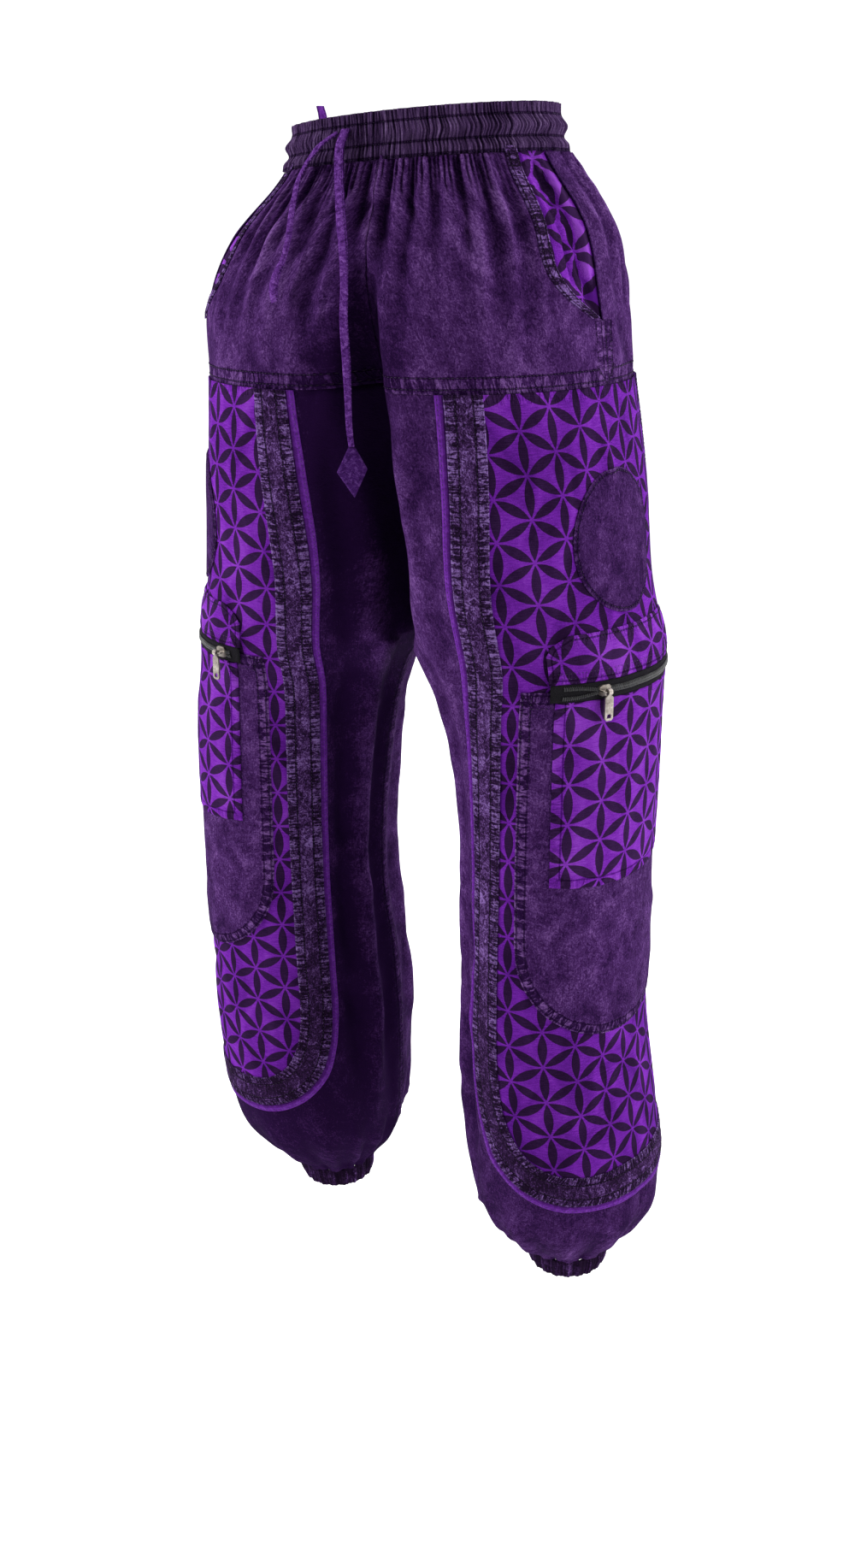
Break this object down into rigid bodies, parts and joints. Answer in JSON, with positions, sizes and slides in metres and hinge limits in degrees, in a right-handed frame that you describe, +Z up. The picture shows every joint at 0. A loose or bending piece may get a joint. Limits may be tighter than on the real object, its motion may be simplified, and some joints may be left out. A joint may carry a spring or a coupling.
{
  "type": "harem trousers",
  "caption": "Loose harem trousers with gathered drawstring waist, printed side panels with cargo pockets, and legs gathered into elastic cuffs, held open as worn.",
  "frame": {"origin": "the middle of the waist opening, level with the top of the waistband", "axes": "+Z up along the legs, -Y to the wearer's front, +X to the wearer's left"},
  "size_m": [0.4353, 0.3068, 0.9453],
  "materials": {
    "plain_cloth": "stonewashed purple cotton, matt",
    "dark_cloth": "darker stonewashed purple cotton with bleached creases, matt",
    "print_cloth": "purple cotton printed with an interlaced circle lattice, matt",
    "bright_tape": "bright purple folded cotton tape, matt",
    "zip_tape": "black woven zip tape, matt",
    "zip_metal": "worn silvery zinc, softly polished"
  },
  "bodies": {
    "garment": {"leg_front_left": "plain_cloth", "leg_front_right": "plain_cloth", "leg_back_left": "plain_cloth", "leg_back_right": "plain_cloth", "side_panel_left": "print_cloth", "side_panel_right": "print_cloth", "border_band_left": "dark_cloth", "border_band_right": "dark_cloth", "edge_trim_left": "bright_tape", "edge_trim_right": "bright_tape", "round_patch_left": "plain_cloth", "round_patch_right": "plain_cloth", "plain_pocket_left": "plain_cloth", "plain_pocket_right": "plain_cloth", "print_pocket_left": "print_cloth", "print_pocket_right": "print_cloth", "pocket_flap_left": "print_cloth", "pocket_flap_right": "print_cloth", "zip_tape_left": "zip_tape", "zip_tape_right": "zip_tape", "yoke_front_left": "plain_cloth", "yoke_front_right": "plain_cloth", "yoke_back_left": "plain_cloth", "yoke_back_right": "plain_cloth", "pocket_facing_left": "print_cloth", "pocket_facing_right": "print_cloth", "pocket_welt_left": "dark_cloth", "pocket_welt_right": "dark_cloth", "cuff_left": "dark_cloth", "cuff_right": "dark_cloth", "zip_slider_left": "zip_metal", "zip_slider_right": "zip_metal", "waistband": "dark_cloth", "drawstring_long": "bright_tape", "drawstring_short": "bright_tape", "drawstring_tip": "bright_tape", "hanging_tab": "bright_tape"},
    "tab_left": {"pull_tab_left": "zip_metal"},
    "tab_right": {"pull_tab_right": "zip_metal"}
  },
  "joints": [
    {"name": "pull_tab_left_swing", "type": "hinge", "parent": "garment", "child": "tab_left", "pos_m": [0.17985, -0.09022, -0.398], "axis": [-0.5848, -0.8112, 0], "range_deg": [0, 120]},
    {"name": "pull_tab_right_swing", "type": "hinge", "parent": "garment", "child": "tab_right", "pos_m": [-0.1421, -0.09831, -0.398], "axis": [-0.906, 0.4232, 0], "range_deg": [0, 120]}
  ]
}
